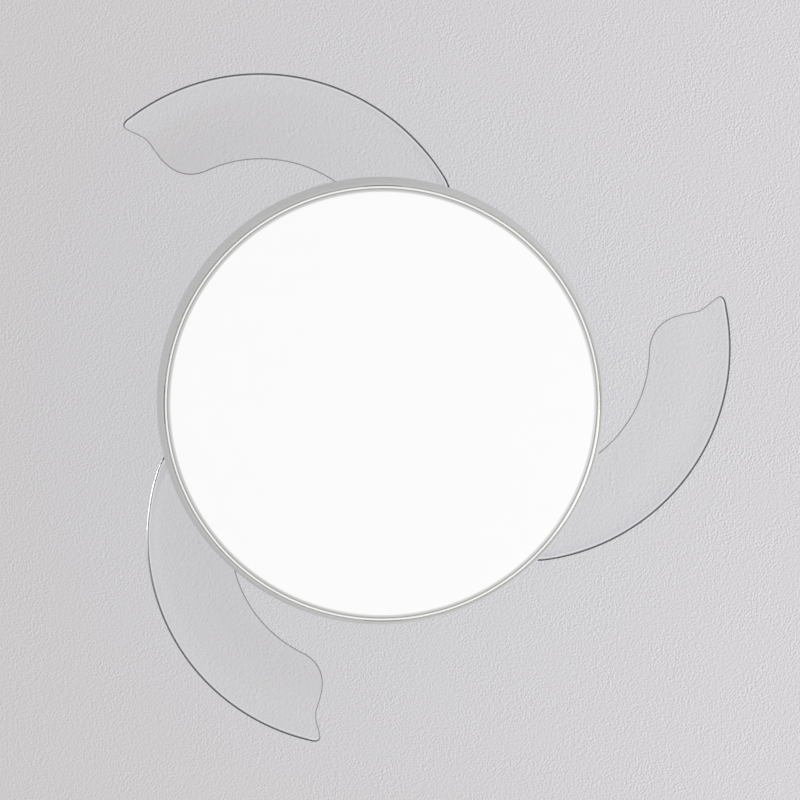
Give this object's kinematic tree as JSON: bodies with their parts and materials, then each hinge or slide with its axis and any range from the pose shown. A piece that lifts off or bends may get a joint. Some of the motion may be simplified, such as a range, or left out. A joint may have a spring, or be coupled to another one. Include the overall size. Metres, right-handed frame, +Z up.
{
  "type": "retractable blade ceiling fan",
  "caption": "Ceiling fan with a round opal lamp; clear curved blades swing out on sprung pivots from above the lamp and fold back over it.",
  "frame": {"origin": "centre of the mounting plane on the ceiling, on the rotor axis", "axes": "+Z up into the ceiling along the rotor axis; seen from below +X is to the right and +Y is down, and the rotor turns clockwise"},
  "size_m": [0.7663, 0.8453, 0.2172],
  "materials": {
    "zinc_steel": "zinc plated, satin",
    "turned_steel": "turned and ground",
    "cast_alloy": "die-cast, fine grain",
    "body_paint": "satin paint, pale warm grey",
    "cover_plastic": "moulded, satin",
    "white_plastic": "moulded",
    "board_white": "white solder mask",
    "led_yellow": "phosphor resin",
    "lead_black": "matt sheath",
    "bumper_rubber": "matt",
    "core_steel": "stacked laminations",
    "magnet_grey": "sintered",
    "copper_wire": "enamelled copper",
    "bronze": "sintered bronze",
    "spring_steel": "music wire",
    "clear_acrylic": "clear, polished",
    "opal_acrylic": "opal, lit from behind",
    "ring_satin": "satin anodised"
  },
  "bodies": {
    "hanger_and_lamp": {"hanger_bracket": "zinc_steel", "hanger_collar": "cast_alloy", "hanger_bolts": "zinc_steel", "collar_screws": "zinc_steel", "canopy": "body_paint", "canopy_screws": "zinc_steel", "terminal_block": "white_plastic", "supply_lead": "lead_black", "motor_shaft": "turned_steel", "stator_core": "core_steel", "stator_coils": "copper_wire", "bearing_inner_races": "turned_steel", "lamp_flange": "cast_alloy", "lamp_nut": "zinc_steel", "lamp_pan": "body_paint", "pan_screws": "zinc_steel", "led_boards": "board_white", "led_chips": "led_yellow", "board_spacers": "white_plastic", "board_screws": "zinc_steel", "led_driver": "white_plastic", "fan_controller": "white_plastic", "shade_catches": "zinc_steel"},
    "shade": {"trim_ring": "ring_satin", "diffuser": "opal_acrylic"},
    "rotor": {"motor_upper_shell": "cast_alloy", "motor_lower_shell": "cast_alloy", "rotor_yoke": "core_steel", "rotor_magnets": "magnet_grey", "bearing_outer_races": "turned_steel", "bearing_balls": "turned_steel", "shell_bolts": "zinc_steel", "blade_carrier": "zinc_steel", "pivot_posts": "turned_steel", "pivot_washers": "white_plastic", "pivot_clips": "zinc_steel", "open_bumpers": "bumper_rubber", "closed_bumpers": "bumper_rubber", "blade_cover": "cover_plastic", "cover_screws": "zinc_steel", "return_spring_1": "spring_steel", "return_spring_2": "spring_steel", "return_spring_3": "spring_steel"},
    "blade_arm_1": {"blade_1": "clear_acrylic", "blade_hub_1": "cast_alloy", "blade_clamp_1": "zinc_steel", "pivot_bush_1": "bronze", "blade_screws_1": "zinc_steel"},
    "blade_arm_2": {"blade_2": "clear_acrylic", "blade_hub_2": "cast_alloy", "blade_clamp_2": "zinc_steel", "pivot_bush_2": "bronze", "blade_screws_2": "zinc_steel"},
    "blade_arm_3": {"blade_3": "clear_acrylic", "blade_hub_3": "cast_alloy", "blade_clamp_3": "zinc_steel", "pivot_bush_3": "bronze", "blade_screws_3": "zinc_steel"}
  },
  "joints": [
    {"name": "rotor_spin", "type": "hinge", "parent": "hanger_and_lamp", "child": "rotor", "pos_m": [0, 0, 0], "axis": [0, 0, 1], "continuous": true},
    {"name": "shade_twist", "type": "hinge", "parent": "hanger_and_lamp", "child": "shade", "pos_m": [0, 0, 0], "axis": [0, 0, 1], "range_deg": [0, 12]},
    {"name": "blade_1_swing", "type": "hinge", "parent": "rotor", "child": "blade_arm_1", "pos_m": [0.05021, -0.20288, 0], "axis": [0, 0, 1], "range_deg": [-58.4, 1.6], "deforming": ["return_spring_1"]},
    {"name": "blade_2_swing", "type": "hinge", "parent": "rotor", "child": "blade_arm_2", "pos_m": [0.1506, 0.14492, 0], "axis": [0, 0, 1], "range_deg": [-53.3, 6.7], "deforming": ["return_spring_2"]},
    {"name": "blade_3_swing", "type": "hinge", "parent": "rotor", "child": "blade_arm_3", "pos_m": [-0.2008, 0.05796, 0], "axis": [0, 0, 1], "range_deg": [-49.9, 10.1], "deforming": ["return_spring_3"]}
  ]
}
